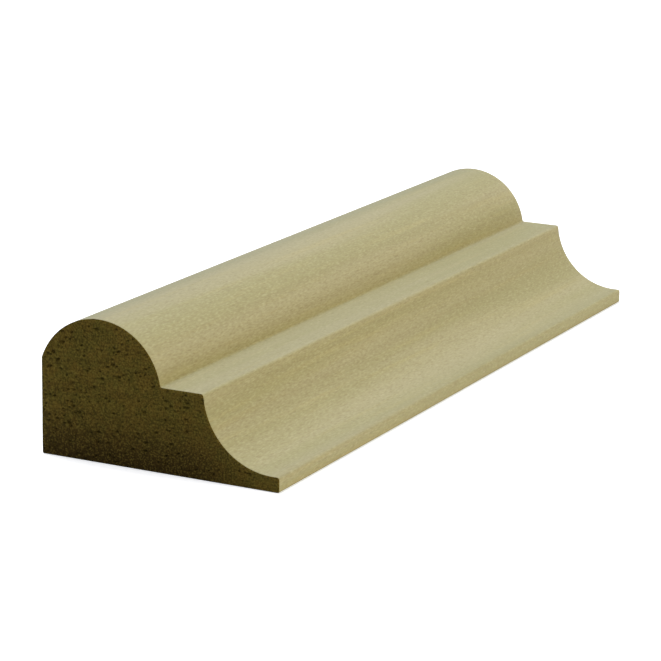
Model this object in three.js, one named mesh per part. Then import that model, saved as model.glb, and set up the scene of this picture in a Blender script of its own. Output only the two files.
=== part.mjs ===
// A short length of wooden panel moulding, run from one piece of poplar and cut square at both ends.
// Its section, from the square edge to the thin edge, is a bead, a quirk, a flat fillet and a cove
// that sweeps down to a thin lip. It lies on its flat back.
// Millimetres, +Z up. X runs across the section from the bead to the lip, and Y along the length.
// The origin is the middle of the flat back.
import * as THREE from "three";

// The stock is 3/4 in by 1 3/8 in. The length is where the saw cut it, a little over 4 1/2 in.
const mouldingLength = 116.5;
const mouldingWidth = 34.925;
const mouldingThickness = 19.05;

// The bead, and the square edge that stands below it.
const beadRadius = 9.2;
const squareEdgeHeight = 13;

// The flat fillet between the bead and the cove, above the back.
const filletHeight = 11.3;

// The cove and the lip that it runs out to.
const coveRadius = 10;
const lipThickness = 2;
const lipFlatWidth = 1;

// How far the sharp corners of the section are eased by the sander.
const backEase = 0.25;
const lipEase = 0.4;
const filletEase = 0.25;
const quirkEase = 0.3;

// How finely the curves are drawn.
const beadSteps = 60;
const coveSteps = 32;
const easeSteps = 3;

const poplarColour = 0xb8ae87;
const poplarRoughness = 0.62;

const beadSide = -mouldingWidth / 2;
const lipSide = mouldingWidth / 2;

// A point of the section: x across the back, y above it.
const point = (x, y) => new THREE.Vector2(x, y);

// Points along an arc, both ends included. A negative turn runs clockwise.
function arc(centre, radius, start, turn, steps) {
  return Array.from({ length: steps + 1 }, (_, i) => {
    const angle = start + (turn * i) / steps;
    return point(centre.x + radius * Math.cos(angle), centre.y + radius * Math.sin(angle));
  });
}

// A corner softened between the points where it starts and ends, both included.
function easedCorner(start, corner, end) {
  return new THREE.QuadraticBezierCurve(start, corner, end).getPoints(easeSteps);
}

// The bead's circle touches the full thickness and meets the top of the square edge.
function beadCircle() {
  const height = mouldingThickness - beadRadius;
  const rise = squareEdgeHeight - height;
  const reach = Math.sqrt(beadRadius ** 2 - rise ** 2);
  const centre = point(beadSide + reach, height);
  return { centre, startAngle: Math.atan2(rise, -reach) };
}

// The cove's circle touches the flat of the lip and rises to the edge of the fillet.
function coveCircle() {
  const centre = point(lipSide - lipFlatWidth, lipThickness + coveRadius);
  const drop = centre.y - filletHeight;
  const reach = Math.sqrt(coveRadius ** 2 - drop ** 2);
  return { centre, endAngle: Math.atan2(-drop, -reach) };
}

// From the square edge over the bead and down into the quirk, clockwise.
function beadAndQuirk() {
  const { centre, startAngle } = beadCircle();
  const quirkAngle = Math.asin((filletHeight - centre.y) / beadRadius);
  const quirk = point(centre.x + beadRadius * Math.cos(quirkAngle), filletHeight);
  const turn = quirkAngle + quirkEase / beadRadius - startAngle;
  const bead = arc(centre, beadRadius, startAngle, turn, beadSteps);
  const filletStart = point(quirk.x + quirkEase, filletHeight);
  return [...bead, ...easedCorner(bead.at(-1), quirk, filletStart).slice(1)];
}

// From the end of the fillet over its edge and down the cove, anticlockwise, to the flat of the lip.
function filletAndCove() {
  const { centre, endAngle } = coveCircle();
  const fullTurn = 2 * Math.PI;
  const arrisAngle = (endAngle + fullTurn) % fullTurn;
  const arris = point(
    centre.x + coveRadius * Math.cos(arrisAngle),
    centre.y + coveRadius * Math.sin(arrisAngle),
  );
  const startAngle = arrisAngle + filletEase / coveRadius;
  const lowest = 1.5 * Math.PI;
  const cove = arc(centre, coveRadius, startAngle, lowest - startAngle, coveSteps);
  const filletEnd = point(arris.x - filletEase, filletHeight);
  return [...easedCorner(filletEnd, arris, cove[0]), ...cove.slice(1)];
}

function lipEdge() {
  const top = easedCorner(
    point(lipSide - lipEase, lipThickness),
    point(lipSide, lipThickness),
    point(lipSide, lipThickness - lipEase),
  );
  const bottom = easedCorner(point(lipSide, backEase), point(lipSide, 0), point(lipSide - backEase, 0));
  return [...top, ...bottom];
}

function backCorner() {
  return easedCorner(point(beadSide + backEase, 0), point(beadSide, 0), point(beadSide, backEase));
}

// The whole section. It is walked clockwise, and the shape turns it round by itself.
function mouldingSection() {
  return new THREE.Shape([...beadAndQuirk(), ...filletAndCove(), ...lipEdge(), ...backCorner()]);
}

// The section is drawn flat and extruded upwards, so it is stood up and moved to the near end.
function panelMoulding() {
  const geometry = new THREE.ExtrudeGeometry(mouldingSection(), {
    depth: mouldingLength,
    bevelEnabled: false,
  });
  const poplar = new THREE.MeshStandardMaterial({
    name: "poplar",
    color: poplarColour,
    roughness: poplarRoughness,
    metalness: 0,
  });
  const mesh = new THREE.Mesh(geometry, poplar);
  mesh.name = "moulding";
  mesh.rotation.x = Math.PI / 2;
  mesh.position.y = mouldingLength / 2;
  return mesh;
}

const part = new THREE.Group();
part.add(panelMoulding());

export default part;
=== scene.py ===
# A short length of poplar panel moulding, cut square at both ends and lying on its flat back
# on a pale table. The sizes in the dictionaries are in millimetres, apart from those of the lamps
# and the camera's reach, which are in metres, as Blender's own are.
import math
import random

import bpy
import numpy as np
from mathutils import Euler, Matrix, Vector
from mathutils.geometry import delaunay_2d_cdt


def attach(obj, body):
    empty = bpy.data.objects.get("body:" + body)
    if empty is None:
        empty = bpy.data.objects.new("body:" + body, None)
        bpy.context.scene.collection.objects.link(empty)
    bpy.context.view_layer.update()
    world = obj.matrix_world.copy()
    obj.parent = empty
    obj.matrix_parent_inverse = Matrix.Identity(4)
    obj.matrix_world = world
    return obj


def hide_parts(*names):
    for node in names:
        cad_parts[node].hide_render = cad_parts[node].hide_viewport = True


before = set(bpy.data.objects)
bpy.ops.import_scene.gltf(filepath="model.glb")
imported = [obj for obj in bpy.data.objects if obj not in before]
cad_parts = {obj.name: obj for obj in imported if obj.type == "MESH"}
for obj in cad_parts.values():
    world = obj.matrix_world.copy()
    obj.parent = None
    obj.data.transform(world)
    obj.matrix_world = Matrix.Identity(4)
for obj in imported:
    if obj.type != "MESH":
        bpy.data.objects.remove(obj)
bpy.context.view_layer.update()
mm = 0.001
scene = bpy.context.scene


# Shared helpers

def srgb(hexColour):
    channels = [int(hexColour[i : i + 2], 16) / 255 for i in (1, 3, 5)]
    linear = [c / 12.92 if c <= 0.04045 else ((c + 0.055) / 1.055) ** 2.4 for c in channels]
    return (*linear, 1.0)


def addNode(tree, kind, settings=None, inputs=None):
    # Inputs are named or numbered sockets, each given a value, another node's output, or the other
    # node itself, which stands for the first output that it has in use.
    node = tree.nodes.new(kind)
    for name, value in (settings or {}).items():
        setattr(node, name, value)
    for key, value in (inputs or {}).items():
        if isinstance(value, bpy.types.Node):
            value = next(output for output in value.outputs if output.enabled)
        if isinstance(value, bpy.types.NodeSocket):
            tree.links.new(value, node.inputs[key])
        else:
            node.inputs[key].default_value = value
    return node


# Settings that many nodes share
times = {"operation": "MULTIPLY"}
timesPlus = {"operation": "MULTIPLY_ADD"}
smoothly = {"interpolation_type": "SMOOTHSTEP"}
asColour = {"data_type": "RGBA"}


def newMaterial(name):
    material = bpy.data.materials.new(name)
    material.use_nodes = True
    material.node_tree.nodes.clear()
    return material


def newGeometryTree(name, inputs):
    # Inputs are (name, socket type) pairs after the geometry itself.
    tree = bpy.data.node_groups.new(name, "GeometryNodeTree")
    tree.interface.new_socket("Geometry", in_out="INPUT", socket_type="NodeSocketGeometry")
    for label, kind in inputs:
        tree.interface.new_socket(label, in_out="INPUT", socket_type=kind)
    tree.interface.new_socket("Geometry", in_out="OUTPUT", socket_type="NodeSocketGeometry")
    return tree, addNode(tree, "NodeGroupInput").outputs, addNode(tree, "NodeGroupOutput")


def socketId(tree, label):
    sockets = tree.interface.items_tree
    return next(s.identifier for s in sockets if s.name == label and s.in_out == "INPUT")


# Camera, at the photograph's place and angle

cameraView = {
    "place": (175.626, -358.359, 108.220),
    "turn": (75.6028, -0.8924, 26.9817),      # degrees about x, y and z
    "lens": 154.83,
    "sensor": 36,
    "reach": (0.01, 20),
}


def makeCamera():
    data = bpy.data.cameras.new("camera")
    data.lens = cameraView["lens"]
    data.sensor_width = cameraView["sensor"]
    data.clip_start, data.clip_end = cameraView["reach"]
    camera = bpy.data.objects.new("camera", data)
    turn = Euler([math.radians(angle) for angle in cameraView["turn"]])
    camera.matrix_world = Matrix.LocRotScale(Vector(cameraView["place"]) * mm, turn, None)
    scene.collection.objects.link(camera)
    scene.camera = camera


makeCamera()
print("camera set")


# Soft studio light: a wide lamp overhead, a cool one high behind, a warm one low on the side of
# the lip, a weak one behind on the side of the bead, and a pale room all round. No lamp stands in
# front, so the near end is in shade.

studio = {
    "world": "#ffffff",
    "worldStrength": 0.35,
    "lamps": {
        "overhead": {"place": (-1.0, 0.1, 2.9), "size": 1.8, "watts": 63.5, "colour": "#fffdff"},
        "behind": {"place": (0.0, 1.7, 2.8), "size": 1.8, "watts": 28, "colour": "#dbe9ff"},
        "lipSide": {"place": (2.9, 0.3, 0.38), "size": 1.4, "watts": 57, "colour": "#fee5a7"},
        "beadSide": {"place": (-1.7, 2.1, 1.2), "size": 1.8, "watts": 5.5, "colour": "#e6ecff"},
    },
}


def makeLamp(name, lamp):
    # Each lamp faces the origin.
    data = bpy.data.lights.new(name, "AREA")
    data.shape = "DISK"
    data.size = lamp["size"]
    data.energy = lamp["watts"]
    data.color = srgb(lamp["colour"])[:3]
    piece = bpy.data.objects.new(name, data)
    piece.location = lamp["place"]
    piece.rotation_euler = Vector(lamp["place"]).to_track_quat("Z", "Y").to_euler()
    scene.collection.objects.link(piece)


def makeWorld():
    # The camera sees plain white past the table, and the moulding gets only a little light from it.
    world = bpy.data.worlds.new("studio")
    world.use_nodes = True
    tree = world.node_tree
    tree.nodes.clear()
    white = {"Color": srgb(studio["world"])}
    dim = addNode(tree, "ShaderNodeBackground", None, {**white, "Strength": studio["worldStrength"]})
    seen = addNode(tree, "ShaderNodeBackground", None, {**white, "Strength": 1.0})
    ray = addNode(tree, "ShaderNodeLightPath").outputs["Is Camera Ray"]
    mix = addNode(tree, "ShaderNodeMixShader", None, {0: ray, 1: dim, 2: seen})
    addNode(tree, "ShaderNodeOutputWorld", None, {"Surface": mix})
    scene.world = world


for lampName, lampValues in studio["lamps"].items():
    makeLamp(lampName, lampValues)
makeWorld()
scene.view_settings.view_transform = "Standard"
scene.view_settings.look = "None"
print("studio lit")


# Table top

table = {
    "radius": 4000,
    "sides": 96,
    "drop": 0.02,            # keeps it just clear of the moulding's back
    "colour": "#f3f5f8",
    "shade": "#eff1f4",
    "cloudWidth": 180,
    "roughness": 0.7,
    "glow": 0.54,            # seen by the camera alone, so that it leaves the moulding's shade as it is
}


def litTable():
    # Opal acrylic, lit from below: plain white, with a faint unevenness of tone. Its glow leaves
    # only a trace of the moulding's shadow.
    material = newMaterial("opal acrylic")
    tree = material.node_tree
    cloud = addNode(tree, "ShaderNodeTexNoise", None, {
        "Vector": addNode(tree, "ShaderNodeTexCoord").outputs["Object"],
        "Scale": 1 / (table["cloudWidth"] * mm), "Detail": 3.0,
    })
    tone = addNode(tree, "ShaderNodeMix", asColour, {
        0: cloud, 6: srgb(table["colour"]), 7: srgb(table["shade"]),
    })
    surface = addNode(tree, "ShaderNodeBsdfPrincipled", None, {
        "Base Color": tone, "Roughness": table["roughness"],
    })
    ray = addNode(tree, "ShaderNodeLightPath").outputs["Is Camera Ray"]
    strength = addNode(tree, "ShaderNodeMath", times, {0: ray, 1: table["glow"]})
    glow = addNode(tree, "ShaderNodeEmission", None, {"Color": tone, "Strength": strength})
    both = addNode(tree, "ShaderNodeAddShader", None, {0: surface, 1: glow})
    addNode(tree, "ShaderNodeOutputMaterial", None, {"Surface": both})
    return material


def makeTable():
    turns = [2 * math.pi * i / table["sides"] for i in range(table["sides"])]
    radius = table["radius"] * mm
    rim = [(radius * math.cos(a), radius * math.sin(a), -table["drop"] * mm) for a in turns]
    mesh = bpy.data.meshes.new("table")
    mesh.from_pydata(rim, [], [list(range(len(rim)))])
    mesh.materials.append(litTable())
    piece = bpy.data.objects.new("table", mesh)
    scene.collection.objects.link(piece)
    return piece


tableTop = makeTable()
print("table laid")


# The wood. Both finishes read one block of grain in object coordinates, so that the growth rings
# of the long faces run out at the sawn ends. Each finish then has patterns of its own, and its
# layers of colour lie one over another from the first to the last.

grain = {
    "place": (5.0, 1020.0, 44.0),    # of the moulding in the tree: from its heart, and along its trunk
    "turn": (math.radians(-0.5), 0.0, math.radians(0.8)),   # the grain runs a little off the length
    "ringWidth": 2.9,
    "ringWander": 2.4,
    "wanderAcross": 0.07,            # turns of it per millimetre across the grain, then along it
    "wanderAlong": 0.006,
}

longGrain = {
    "patterns": {
        # Width across the grain, length along it, detail and roughness
        "bands": (4.0, 110.0, 2.0, 0.5),
        "streaks": (0.9, 45.0, 3.0, 0.6),
        "fibres": (0.19, 0.75, 1.0, 0.4),    # finer in the wood, and as coarse as shows at this distance
    },
    "vesselWidth": 0.17,
    "vesselLength": 0.8,
    "vesselEdge": (0.42, 0.18),      # in cells from its middle: where a vessel starts, and is full
    "darkAbove": 0.62,               # each vessel draws a lot from 0 to 1: above this it is dark
    "paleBelow": 0.25,               # and below this pale
    "colours": {
        "tan": "#9d976f",
        "olive": "#949060",
        "straw": "#a59c67",
        "latewood": "#887f51",
        "vessel": "#7e7444",
        "pale": "#b3b088",
    },
    "base": "tan",
    "layers": [
        # Pattern, how it fades in, where it starts, where it is full, its share there, its colour
        ("bands", "SMOOTHSTEP", 0.36, 0.64, 1.0, "olive"),
        ("streaks", "SMOOTHSTEP", 0.5, 0.72, 0.44, "straw"),
        ("rings", "SMOOTHSTEP", 0.55, 1.0, 0.22, "latewood"),
        ("fibres", "SMOOTHSTEP", 0.5, 0.25, 0.41, "vessel"),
        ("fibres", "SMOOTHSTEP", 0.5, 0.75, 0.41, "pale"),
        ("darkVessels", "LINEAR", 0.0, 1.0, 0.26, "vessel"),
        ("paleVessels", "LINEAR", 0.0, 1.0, 0.24, "pale"),
    ],
    "ior": 1.5,
    "specular": 0.25,        # the open grain breaks up half of the gloss
    "roughness": (0.55, 0.65),
    "roughnessFibres": (0.3, 0.7),   # the values of the fibres' pattern that it goes with
    "fuzz": 0.26,            # the sander leaves short fibre ends, which whiten at a low angle
    "fuzzRoughness": 0.6,
    "fibreRelief": 0.02,
    "vesselRelief": 0.014,
}

endGrain = {
    "patterns": {
        "blotches": (1.5, 4.0, 3.0, 0.65),
        "specks": (0.24, 1.0, 2.0, 0.55),
    },
    "shadeHeight": 8.6,      # painted shade: the end is darkened and browned below this height, short of the lip
    "shadeReach": (4.0, 15.0),
    "sawPitch": 0.55,
    "sawWander": 1.6,                # how far the saw lines are from straight
    "sawDetail": (2.0, 0.35),        # of that wander, and its scale
    "colours": {
        "brown": "#5c4b19",
        "olive": "#534918",
        "dark": "#3a2e09",
        "lowShade": "#312308",
        "pale": "#7e7032",
        # The colour of the pores, and of the painted shade in the pits
        "poreAndPitShade": "#211a03",
    },
    "base": "brown",
    "layers": [
        ("blotches", "SMOOTHSTEP", 0.35, 0.65, 1.0, "olive"),
        ("rings", "SMOOTHSTEP", 0.5, 1.0, 0.22, "dark"),
        # Painted shade: darker and browner towards the bottom of the end, short of the lip
        ("lowShade", "LINEAR", 0.0, 1.0, 0.9, "lowShade"),
        ("specks", "SMOOTHSTEP", 0.5, 0.68, 0.39, "pale"),
        ("specks", "SMOOTHSTEP", 0.52, 0.34, 0.52, "poreAndPitShade"),
        ("sawLines", "SMOOTHSTEP", 0.6, 1.0, 0.18, "dark"),
        ("pits", "LINEAR", 0.0, 1.0, 0.42, "poreAndPitShade"),     # painted shade: each pit is darkened towards its floor, as its own depth would shade it
    ],
    "specular": 0.08,        # open pores swallow most of the gloss
    "roughness": 0.82,
    "relief": 0.05,
    "sawRelief": 0.25,       # as a share of the specks' own
}

waveUnit = math.pi / 10      # a wave node's rings and bands are this far apart at a scale of one


def perCell(width, length):
    # A place times this is counted in cells, so wide across the grain and so long along it.
    return (1 / width, 1 / length, 1 / width)


def grainPatterns(tree, ownPatterns):
    # The place in the wood in millimetres, its rings, and the finish's own patterns.
    place = addNode(tree, "ShaderNodeMapping", None, {
        "Vector": addNode(tree, "ShaderNodeTexCoord").outputs["Object"],
        "Location": grain["place"], "Rotation": grain["turn"], "Scale": (1 / mm,) * 3,
    })
    across, along = grain["wanderAcross"], grain["wanderAlong"]
    wander = addNode(tree, "ShaderNodeTexNoise", None, {
        "Vector": addNode(tree, "ShaderNodeVectorMath", times, {0: place, 1: (across, along, across)}),
        "Scale": 1.0, "Detail": 2.0,
    })
    centred = addNode(tree, "ShaderNodeVectorMath", {"operation": "SUBTRACT"}, {
        0: wander.outputs["Color"], 1: (0.5,) * 3,
    })
    moved = addNode(tree, "ShaderNodeVectorMath", timesPlus, {
        0: centred, 1: (2 * grain["ringWander"],) * 3, 2: place,
    })
    rings = addNode(tree, "ShaderNodeTexWave", {
        "wave_type": "RINGS", "rings_direction": "Y", "wave_profile": "SAW",
    }, {"Vector": moved, "Scale": waveUnit / grain["ringWidth"], "Distortion": 0.0})
    patterns = {"place": place, "rings": rings.outputs["Fac"]}
    for name, (width, length, detail, roughness) in ownPatterns.items():
        cells = addNode(tree, "ShaderNodeVectorMath", times, {0: place, 1: perCell(width, length)})
        patterns[name] = addNode(tree, "ShaderNodeTexNoise", None, {
            "Vector": cells, "Scale": 1.0, "Detail": detail, "Roughness": roughness,
        })
    return patterns


def layColours(tree, patterns, finish):
    # Each layer covers what lies under it where its pattern shows.
    colour = srgb(finish["colours"][finish["base"]])
    for pattern, edge, start, full, share, name in finish["layers"]:
        cover = addNode(tree, "ShaderNodeMapRange", {"interpolation_type": edge}, {
            "Value": patterns[pattern], "From Min": start, "From Max": full, "To Max": share,
        })
        colour = addNode(tree, "ShaderNodeMix", asColour, {
            0: cover, 6: colour, 7: srgb(finish["colours"][name]),
        })
    return colour


def sandedPoplar():
    # Tulipwood, planed through cutters and lightly sanded: matt, greenish tan, with soft streaks
    # and short open vessels along the grain that catch the light as pale and dark dashes.
    material = newMaterial("sanded poplar")
    tree = material.node_tree
    patterns = grainPatterns(tree, longGrain["patterns"])

    # Each cell of the pattern is twice as wide and as long as the vessel in it.
    cellSize = perCell(2 * longGrain["vesselWidth"], 2 * longGrain["vesselLength"])
    vessels = addNode(tree, "ShaderNodeTexVoronoi", {"feature": "F1"}, {
        "Vector": addNode(tree, "ShaderNodeVectorMath", times, {0: patterns["place"], 1: cellSize}),
        "Scale": 1.0,
    })
    start, full = longGrain["vesselEdge"]
    dash = addNode(tree, "ShaderNodeMapRange", smoothly, {
        "Value": vessels.outputs["Distance"], "From Min": start, "From Max": full,
    })
    lot = addNode(tree, "ShaderNodeSeparateColor", None, {"Color": vessels.outputs["Color"]})
    isDark = addNode(tree, "ShaderNodeMath", {"operation": "GREATER_THAN"}, {
        0: lot, 1: longGrain["darkAbove"],
    })
    isPale = addNode(tree, "ShaderNodeMath", {"operation": "LESS_THAN"}, {
        0: lot, 1: longGrain["paleBelow"],
    })
    patterns["darkVessels"] = addNode(tree, "ShaderNodeMath", times, {0: dash, 1: isDark})
    patterns["paleVessels"] = addNode(tree, "ShaderNodeMath", times, {0: dash, 1: isPale})
    colour = layColours(tree, patterns, longGrain)

    smoothest, roughest = longGrain["roughness"]
    low, high = longGrain["roughnessFibres"]
    roughness = addNode(tree, "ShaderNodeMapRange", smoothly, {
        "Value": patterns["fibres"], "From Min": low, "From Max": high,
        "To Min": smoothest, "To Max": roughest,
    })
    fibreHeight = addNode(tree, "ShaderNodeMath", times, {
        0: patterns["fibres"], 1: longGrain["fibreRelief"],
    })
    height = addNode(tree, "ShaderNodeMath", timesPlus, {
        0: patterns["darkVessels"], 1: -longGrain["vesselRelief"], 2: fibreHeight,
    })
    bump = addNode(tree, "ShaderNodeBump", None, {"Height": height, "Strength": 1.0, "Distance": mm})
    surface = addNode(tree, "ShaderNodeBsdfPrincipled", None, {
        "Base Color": colour, "Roughness": roughness, "IOR": longGrain["ior"], "Normal": bump,
        "Specular IOR Level": longGrain["specular"],
        "Sheen Weight": longGrain["fuzz"], "Sheen Roughness": longGrain["fuzzRoughness"],
    })
    addNode(tree, "ShaderNodeOutputMaterial", None, {"Surface": surface})
    return material


def sawnPoplar():
    # The same wood cut across by a saw: the open ends of the fibres drink the light, so it is a
    # dark olive brown, rough, with specks of pores, faint saw lines and torn pits. Painted shade
    # darkens its lower part and its pits.
    material = newMaterial("sawn poplar end grain")
    tree = material.node_tree
    patterns = grainPatterns(tree, endGrain["patterns"])

    section = addNode(tree, "ShaderNodeSeparateXYZ", None, {
        0: addNode(tree, "ShaderNodeTexCoord").outputs["Object"],
    })
    # Painted shade: the lower part of the end, short of the lip, is darkened and browned.
    near, far = endGrain["shadeReach"]
    low = addNode(tree, "ShaderNodeMapRange", smoothly, {
        "Value": section.outputs["Z"], "From Min": endGrain["shadeHeight"] * mm, "From Max": 0.0,
    })
    inside = addNode(tree, "ShaderNodeMapRange", smoothly, {
        "Value": section.outputs["X"], "From Min": far * mm, "From Max": near * mm,
    })
    detail, detailScale = endGrain["sawDetail"]
    saw = addNode(tree, "ShaderNodeTexWave", {"wave_type": "BANDS", "bands_direction": "Z"}, {
        "Vector": patterns["place"], "Scale": waveUnit / endGrain["sawPitch"],
        "Distortion": endGrain["sawWander"], "Detail": detail, "Detail Scale": detailScale,
    }).outputs["Fac"]
    patterns["lowShade"] = addNode(tree, "ShaderNodeMath", times, {0: low, 1: inside})
    patterns["sawLines"] = saw
    # Painted shade in the pits, read from each place's share of a pit that the node tree stored.
    patterns["pits"] = addNode(tree, "ShaderNodeAttribute", {"attribute_name": "pitDepthAndShade"}).outputs["Fac"]
    colour = layColours(tree, patterns, endGrain)

    height = addNode(tree, "ShaderNodeMath", timesPlus, {
        0: saw, 1: -endGrain["sawRelief"], 2: patterns["specks"],
    })
    bump = addNode(tree, "ShaderNodeBump", None, {
        "Height": height, "Strength": 1.0, "Distance": endGrain["relief"] * mm,
    })
    surface = addNode(tree, "ShaderNodeBsdfPrincipled", None, {
        "Base Color": colour, "Roughness": endGrain["roughness"],
        "Specular IOR Level": endGrain["specular"], "Normal": bump,
    })
    addNode(tree, "ShaderNodeOutputMaterial", None, {"Surface": surface})
    return material


# The moulding. Its section is drawn once, the near end is meshed inside it, and a node tree
# sweeps the section down the length, tears the pits and closes both ends.

moulding = {
    "length": 116.5,
    "width": 34.925,
    "thickness": 19.05,
    "beadRadius": 9.2,
    "squareEdgeHeight": 13.0,
    "filletHeight": 11.3,
    "coveRadius": 10.0,
    "lipThickness": 2.0,
    "lipFlat": 1.0,
    "backEase": 0.25,
    "lipEase": 0.4,
    "filletEase": 0.4,
    "quirkEase": 0.3,
    "outlineStep": 0.4,
    "easeSteps": 5,
    "stationGap": 2.0,
    "arris": [(0.0, 0.5), (0.0, 0.14), (0.04, 0.04), (0.14, 0.0)],   # inset, depth behind the cut
    "endGap": 0.125,         # between the points that the pits are pressed into
    "rowGap": 0.87,          # between rows of those points, as a share of the gap
    "shake": 0.25,           # how far a point may be from its place, as a share of the gap
    "margin": 0.5,           # how far the points keep from the arris, as a share of the gap
    "mergeGap": 0.001,
    "seed": 11,
}

pits = {
    "Pit Density": 2.2,      # per square millimetre where they crowd
    "Pit Spacing": 0.42,
    "Pit Width": 0.56,
    "Pit Height": 0.28,
    "Pit Depth": 0.28,
    "Roughness": 0.03,
}

tearing = {
    "crowding": (-17.0, 12.0),       # across the section, from where pits crowd to where they are few
    "fewest": 0.5,                   # of the full density
    "patches": 0.28,                 # per millimetre
    "patchRange": (0.34, 0.62),
    "betweenPatches": 0.15,          # of the density in a patch
    "smallest": 0.5,                 # most pits are small, and a few are half as wide again as the
    "sizeSpread": 0.95,              # width given
    "sizePower": 4.0,
    "tears": 3.5,                    # per millimetre
    "raggedness": 1.1,
    "rim": 1.15,                     # half widths from a pit's middle to its rim, and to its floor
    "floor": 0.45,
    "fuzz": 2.2,                     # per millimetre
    "skin": 0.1,                     # only what is this close to the cut is pressed in
}


def arc(centre, radius, start, turn):
    # A negative turn runs clockwise.
    count = max(2, round(abs(turn) * radius / moulding["outlineStep"]))
    angles = [start + turn * i / count for i in range(count + 1)]
    return [(centre[0] + radius * math.cos(a), centre[1] + radius * math.sin(a)) for a in angles]


def easedCorner(start, corner, end):
    steps = moulding["easeSteps"]
    points = []
    for i in range(steps + 1):
        t = i / steps
        shares = ((1 - t) ** 2, 2 * t * (1 - t), t * t)
        points.append(tuple(sum(s * c for s, c in zip(shares, axis)) for axis in zip(start, corner, end)))
    return points


def stretch(start, end):
    # Points inside a straight run, neither end included.
    count = max(1, round(math.dist(start, end) / moulding["outlineStep"]))
    return [tuple(a + (b - a) * i / count for a, b in zip(start, end)) for i in range(1, count)]


def sectionOutline():
    # Clockwise from the top of the square edge: bead, quirk, fillet, cove, lip, back, square edge.
    m = moulding
    beadSide, lipSide = -m["width"] / 2, m["width"] / 2
    beadCentreZ = m["thickness"] - m["beadRadius"]
    rise = m["squareEdgeHeight"] - beadCentreZ
    reach = math.sqrt(m["beadRadius"] ** 2 - rise ** 2)
    beadCentre = (beadSide + reach, beadCentreZ)
    startAngle = math.atan2(rise, -reach)
    quirkAngle = math.asin((m["filletHeight"] - beadCentreZ) / m["beadRadius"])
    quirk = (beadCentre[0] + m["beadRadius"] * math.cos(quirkAngle), m["filletHeight"])
    endAngle = quirkAngle + m["quirkEase"] / m["beadRadius"]
    bead = arc(beadCentre, m["beadRadius"], startAngle, endAngle - startAngle)

    coveCentre = (lipSide - m["lipFlat"], m["lipThickness"] + m["coveRadius"])
    drop = coveCentre[1] - m["filletHeight"]
    arrisAngle = math.pi + math.asin(drop / m["coveRadius"])
    arris = (coveCentre[0] + m["coveRadius"] * math.cos(arrisAngle), m["filletHeight"])
    coveStart = arrisAngle + m["filletEase"] / m["coveRadius"]
    cove = arc(coveCentre, m["coveRadius"], coveStart, 1.5 * math.pi - coveStart)

    lip, ease, back = m["lipThickness"], m["lipEase"], m["backEase"]
    runs = [
        bead,
        easedCorner(bead[-1], quirk, (quirk[0] + m["quirkEase"], quirk[1]))[1:],
        easedCorner((arris[0] - m["filletEase"], arris[1]), arris, cove[0])[:-1],
        cove,
        easedCorner((lipSide - ease, lip), (lipSide, lip), (lipSide, lip - ease)),
        easedCorner((lipSide, back), (lipSide, 0.0), (lipSide - back, 0.0)),
        easedCorner((beadSide + back, 0.0), (beadSide, 0.0), (beadSide, back)),
    ]
    outline = []
    for run, after in zip(runs, runs[1:] + runs[:1]):
        outline += run
        if math.dist(run[-1], after[0]) > 1e-6:
            outline += stretch(run[-1], after[0])
    return np.array(outline)


def inset(outline, distance):
    # Each point moves in along the normal between its two neighbours.
    along = np.roll(outline, -1, 0) - np.roll(outline, 1, 0)
    along /= np.linalg.norm(along, axis=1)[:, None]
    return outline + distance * np.stack([along[:, 1], -along[:, 0]], 1)


def insideRing(places, ring, margin):
    # True where a place is within the ring and no closer to it than the margin.
    after = np.roll(ring, -1, 0)
    edge = after - ring
    offset = places[:, None] - ring[None]
    share = np.clip((offset * edge).sum(2) / (edge ** 2).sum(1), 0, 1)
    gap = np.linalg.norm(offset - share[..., None] * edge, axis=2).min(1)
    spans = (ring[None, :, 1] > places[:, None, 1]) != (after[None, :, 1] > places[:, None, 1])
    slope = edge[:, 0] / np.where(edge[:, 1] == 0, 1, edge[:, 1])
    crossing = ring[None, :, 0] + (places[:, None, 1] - ring[None, :, 1]) * slope
    crossed = spans & (places[:, None, 0] < crossing)
    return (crossed.sum(1) % 2 == 1) & (gap > margin)


def endPoints(ring):
    # A staggered grid, shaken so that no row of it can be seen.
    gap = moulding["endGap"]
    rowGap = gap * moulding["rowGap"]
    shake = moulding["shake"]
    chance = random.Random(moulding["seed"])
    low, high = ring.min(0), ring.max(0)
    rows = int((high[1] - low[1]) / rowGap) + 1
    columns = int((high[0] - low[0]) / gap) + 1
    places = []
    for j in range(rows):
        for i in range(columns):
            x = low[0] + (i + 0.5 * (j % 2)) * gap + chance.uniform(-shake, shake) * gap
            z = low[1] + j * rowGap + chance.uniform(-shake, shake) * gap
            places.append((x, z))
    lots = 40                # worked through in so many lots, to spare memory
    margin = moulding["margin"] * gap
    kept = [lot[insideRing(lot, ring, margin)] for lot in np.array_split(places, lots)]
    return np.concatenate(kept)


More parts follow.
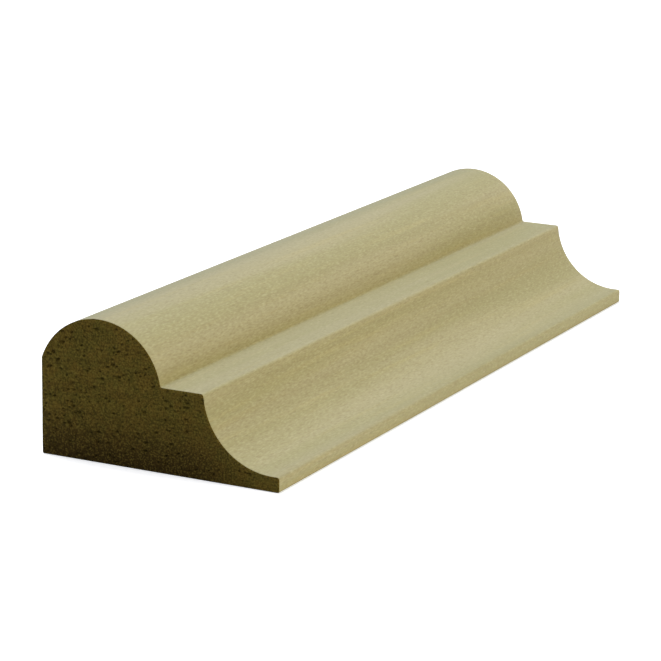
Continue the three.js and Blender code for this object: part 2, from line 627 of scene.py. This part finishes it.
def nearEnd():
    # The sawn face as it stands at y = 0, with its eased arris and a planed strip behind it. The
    # faces of the end and of the arris are marked as sawn.
    outline = sectionOutline()
    count = len(outline)
    rings = [(inset(outline, into), behind) for into, behind in moulding["arris"]]
    vertices = [(x, behind, z) for ring, behind in rings for x, z in ring]
    faces = []
    for level in range(len(rings) - 1):
        back, front = level * count, (level + 1) * count
        for i in range(count):
            j = (i + 1) % count
            faces.append((back + i, front + i, front + j, back + j))

    innerRing = rings[-1][0]
    inner = np.concatenate([innerRing, endPoints(innerRing)])
    edges = [(i, (i + 1) % count) for i in range(count)]
    found = delaunay_2d_cdt([Vector(p) for p in inner], edges, [], 1, 1e-6)
    if len(found[0]) != len(inner):
        raise RuntimeError("the end's points did not all come back from the triangulation")
    first = (len(rings) - 1) * count
    origin = [ids[0] for ids in found[3]]
    vertices += [(x, 0.0, z) for x, z in inner[count:]]
    faces += [tuple(first + origin[i] for i in face) for face in found[2]]

    mesh = bpy.data.meshes.new("moulding")
    mesh.from_pydata([tuple(c * mm for c in v) for v in vertices], [], faces)
    sawn = mesh.attributes.new("sawn", "BOOLEAN", "FACE")
    sawn.data.foreach_set("value", [k >= count for k in range(len(faces))])
    return mesh


pitSockets = [(name, "NodeSocketFloat") for name in pits] + [("Seed", "NodeSocketInt")]


def pitTree():
    # Presses small torn pits into a sawn end and roughens the rest of it a little. It also keeps each
    # place's share of a pit, which the end grain paints as shade.
    tree, given, out = newGeometryTree("torn end", pitSockets)
    place = addNode(tree, "GeometryNodeInputPosition")
    split = addNode(tree, "ShaderNodeSeparateXYZ", None, {0: place})
    sawn = addNode(tree, "GeometryNodeInputNamedAttribute", {"data_type": "BOOLEAN"}, {"Name": "sawn"})

    # They lie in patches, and crowd towards the square edge.
    many, few = tearing["crowding"]
    toEdge = addNode(tree, "ShaderNodeMapRange", None, {
        "Value": split.outputs["X"], "From Min": many * mm, "From Max": few * mm,
        "To Min": 1.0, "To Max": tearing["fewest"],
    })
    patch = addNode(tree, "ShaderNodeTexNoise", None, {
        "Vector": place, "Scale": tearing["patches"] / mm, "Detail": 1.0,
    })
    low, high = tearing["patchRange"]
    inPatch = addNode(tree, "ShaderNodeMapRange", None, {
        "Value": patch, "From Min": low, "From Max": high, "To Min": tearing["betweenPatches"],
    })
    points = addNode(tree, "GeometryNodeDistributePointsOnFaces", {"distribute_method": "POISSON"}, {
        "Mesh": given["Geometry"], "Selection": sawn,
        "Distance Min": given["Pit Spacing"], "Density Max": given["Pit Density"],
        "Density Factor": addNode(tree, "ShaderNodeMath", times, {0: toEdge, 1: inPatch}),
        "Seed": given["Seed"],
    })

    # Each place on the end looks up the nearest pit's middle and size.
    nearest = addNode(tree, "GeometryNodeSampleNearest", None, {
        "Geometry": points, "Sample Position": place,
    })
    middle = addNode(tree, "GeometryNodeSampleIndex", {"data_type": "FLOAT_VECTOR"}, {
        "Geometry": points, "Value": place, "Index": nearest,
    })
    chance = addNode(tree, "FunctionNodeRandomValue", None, {2: 0.0, 3: 1.0, "Seed": given["Seed"]})
    rare = addNode(tree, "ShaderNodeMath", {"operation": "POWER"}, {0: chance, 1: tearing["sizePower"]})
    size = addNode(tree, "ShaderNodeMath", timesPlus, {
        0: rare, 1: tearing["sizeSpread"], 2: tearing["smallest"],
    })
    sizeThere = addNode(tree, "GeometryNodeSampleIndex", None, {
        "Geometry": points, "Value": size, "Index": nearest,
    })

    # The distance from that middle is counted in half widths and half heights of a pit, and the
    # depth is left out of it by a huge divisor.
    half = addNode(tree, "ShaderNodeCombineXYZ", None, {
        0: addNode(tree, "ShaderNodeMath", times, {0: given["Pit Width"], 1: 0.5}), 1: 1e6,
        2: addNode(tree, "ShaderNodeMath", times, {0: given["Pit Height"], 1: 0.5}),
    })
    away = addNode(tree, "ShaderNodeVectorMath", {"operation": "SUBTRACT"}, {0: place, 1: middle})
    shape = addNode(tree, "ShaderNodeVectorMath", {"operation": "DIVIDE"}, {0: away, 1: half})
    length = addNode(tree, "ShaderNodeVectorMath", {"operation": "LENGTH"}, {0: shape})
    reach = addNode(tree, "ShaderNodeMath", {"operation": "DIVIDE"}, {0: length, 1: sizeThere})
    tear = addNode(tree, "ShaderNodeTexNoise", None, {
        "Vector": place, "Scale": tearing["tears"] / mm, "Detail": 1.0,
    })
    swing = addNode(tree, "ShaderNodeMath", {"operation": "SUBTRACT"}, {0: tear, 1: 0.5})
    ragged = addNode(tree, "ShaderNodeMath", timesPlus, {0: swing, 1: tearing["raggedness"], 2: reach})
    pitDepthAndShade = addNode(tree, "ShaderNodeMapRange", smoothly, {
        "Value": ragged, "From Min": tearing["rim"], "From Max": tearing["floor"],
    })

    fuzz = addNode(tree, "ShaderNodeTexNoise", None, {
        "Vector": place, "Scale": tearing["fuzz"] / mm, "Detail": 2.0,
    })
    depth = addNode(tree, "ShaderNodeMath", timesPlus, {
        0: fuzz, 1: given["Roughness"],
        2: addNode(tree, "ShaderNodeMath", times, {0: pitDepthAndShade, 1: given["Pit Depth"]}),
    })
    onCut = addNode(tree, "FunctionNodeCompare", {"operation": "LESS_THAN"}, {
        0: split.outputs["Y"], 1: tearing["skin"] * mm,
    })
    pressed = addNode(tree, "GeometryNodeSetPosition", None, {
        "Geometry": given["Geometry"], "Selection": onCut,
        "Offset": addNode(tree, "ShaderNodeCombineXYZ", None, {1: depth}),
    })
    # Each place's share of a pit is also kept for the end grain's painted shade in the pits.
    stored = addNode(tree, "GeometryNodeStoreNamedAttribute", {"data_type": "FLOAT", "domain": "POINT"}, {
        "Geometry": pressed, "Name": "pitDepthAndShade", "Value": pitDepthAndShade,
    })
    tree.links.new(stored.outputs[0], out.inputs[0])
    return tree


def sweepTree(tornEnd):
    # Takes the near end at y = 0 and makes the whole moulding from it, centred on the origin.
    tree, given, out = newGeometryTree("swept moulding", [
        ("Length", "NodeSocketFloat"), ("Station Gap", "NodeSocketFloat"), ("Arris", "NodeSocketFloat"),
        *pitSockets, ("Long Grain", "NodeSocketMaterial"), ("End Grain", "NodeSocketMaterial"),
    ])
    toNear = addNode(tree, "ShaderNodeMath", times, {0: given["Length"], 1: -0.5})
    toFar = addNode(tree, "ShaderNodeMath", times, {0: given["Length"], 1: 0.5})

    # The far end is the near one mirrored, with pits of its own.
    ends = []
    for seedShift, flip, place in ((0, 1.0, toNear), (1, -1.0, toFar)):
        torn = addNode(tree, "GeometryNodeGroup", {"node_tree": tornEnd}, {
            "Geometry": given["Geometry"], **{name: given[name] for name in pits},
            "Seed": addNode(tree, "ShaderNodeMath", {"operation": "ADD"}, {0: given["Seed"], 1: seedShift}),
        })
        stood = addNode(tree, "GeometryNodeTransform", None, {
            "Geometry": torn, "Scale": (1.0, flip, 1.0),
            "Translation": addNode(tree, "ShaderNodeCombineXYZ", None, {1: place}),
        })
        if flip < 0:
            stood = addNode(tree, "GeometryNodeFlipFaces", None, {0: stood})
        ends.append(stood)

    # The outline is the edge that only one face uses. It is swept along a line between the arrises.
    neighbours = addNode(tree, "GeometryNodeInputMeshEdgeNeighbors")
    atOutline = addNode(tree, "FunctionNodeCompare", {"data_type": "INT", "operation": "EQUAL"}, {
        2: neighbours, 3: 1,
    })
    outline = addNode(tree, "GeometryNodeMeshToCurve", None, {
        0: given["Geometry"], "Selection": atOutline,
    })
    place = addNode(tree, "ShaderNodeSeparateXYZ", None, {0: addNode(tree, "GeometryNodeInputPosition")})
    profile = addNode(tree, "GeometryNodeSetPosition", None, {
        "Geometry": outline,
        "Position": addNode(tree, "ShaderNodeCombineXYZ", None, {
            0: place.outputs["X"],
            1: addNode(tree, "ShaderNodeMath", times, {0: place.outputs["Z"], 1: -1.0}),
        }),
    })
    start = addNode(tree, "ShaderNodeMath", {"operation": "ADD"}, {0: toNear, 1: given["Arris"]})
    end = addNode(tree, "ShaderNodeMath", {"operation": "SUBTRACT"}, {0: toFar, 1: given["Arris"]})
    path = addNode(tree, "GeometryNodeCurvePrimitiveLine", None, {
        "Start": addNode(tree, "ShaderNodeCombineXYZ", None, {1: start}),
        "End": addNode(tree, "ShaderNodeCombineXYZ", None, {1: end}),
    })
    stations = addNode(tree, "GeometryNodeResampleCurve", {"mode": "LENGTH"}, {
        "Curve": path, "Length": given["Station Gap"],
    })
    upright = addNode(tree, "GeometryNodeSetCurveNormal", {"mode": "Z_UP"}, {0: stations})
    swept = addNode(tree, "GeometryNodeCurveToMesh", None, {"Curve": upright, "Profile Curve": profile})

    joined = addNode(tree, "GeometryNodeJoinGeometry")
    for part in (swept, *ends):
        tree.links.new(part.outputs[0], joined.inputs[0])
    closed = addNode(tree, "GeometryNodeMergeByDistance", None, {
        0: joined, "Distance": moulding["mergeGap"] * mm,
    })
    smooth = addNode(tree, "GeometryNodeSetShadeSmooth", None, {0: closed})
    real = addNode(tree, "GeometryNodeRealizeInstances", None, {0: smooth})
    planed = addNode(tree, "GeometryNodeSetMaterial", None, {
        "Geometry": real, "Material": given["Long Grain"],
    })
    sawn = addNode(tree, "GeometryNodeInputNamedAttribute", {"data_type": "BOOLEAN"}, {"Name": "sawn"})
    cut = addNode(tree, "GeometryNodeSetMaterial", None, {
        "Geometry": planed, "Selection": sawn, "Material": given["End Grain"],
    })
    tree.links.new(cut.outputs[0], out.inputs[0])
    return tree


def makeMoulding():
    mesh = nearEnd()
    planed, sawn = sandedPoplar(), sawnPoplar()
    mesh.materials.append(planed)
    mesh.materials.append(sawn)
    piece = bpy.data.objects.new("poplarMoulding", mesh)
    scene.collection.objects.link(piece)

    tree = sweepTree(pitTree())
    modifier = piece.modifiers.new("sweep", "NODES")
    modifier.node_group = tree
    sizes = {
        "Length": moulding["length"], "Station Gap": moulding["stationGap"],
        "Arris": moulding["arris"][0][1], **pits,
    }
    for name, value in sizes.items():
        unit = 1 / mm ** 2 if name == "Pit Density" else mm
        modifier[socketId(tree, name)] = value * unit
    modifier[socketId(tree, "Seed")] = moulding["seed"]
    modifier[socketId(tree, "Long Grain")] = planed
    modifier[socketId(tree, "End Grain")] = sawn

    evaluated = piece.evaluated_get(bpy.context.evaluated_depsgraph_get())
    finished = bpy.data.meshes.new_from_object(evaluated)
    piece.modifiers.clear()
    piece.data = finished
    finished.name = "poplarMoulding"
    return piece


piece = makeMoulding()
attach(piece, "root")
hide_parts("moulding")
piece.data.calc_loop_triangles()
print("moulding made,", len(piece.data.loop_triangles), "triangles")
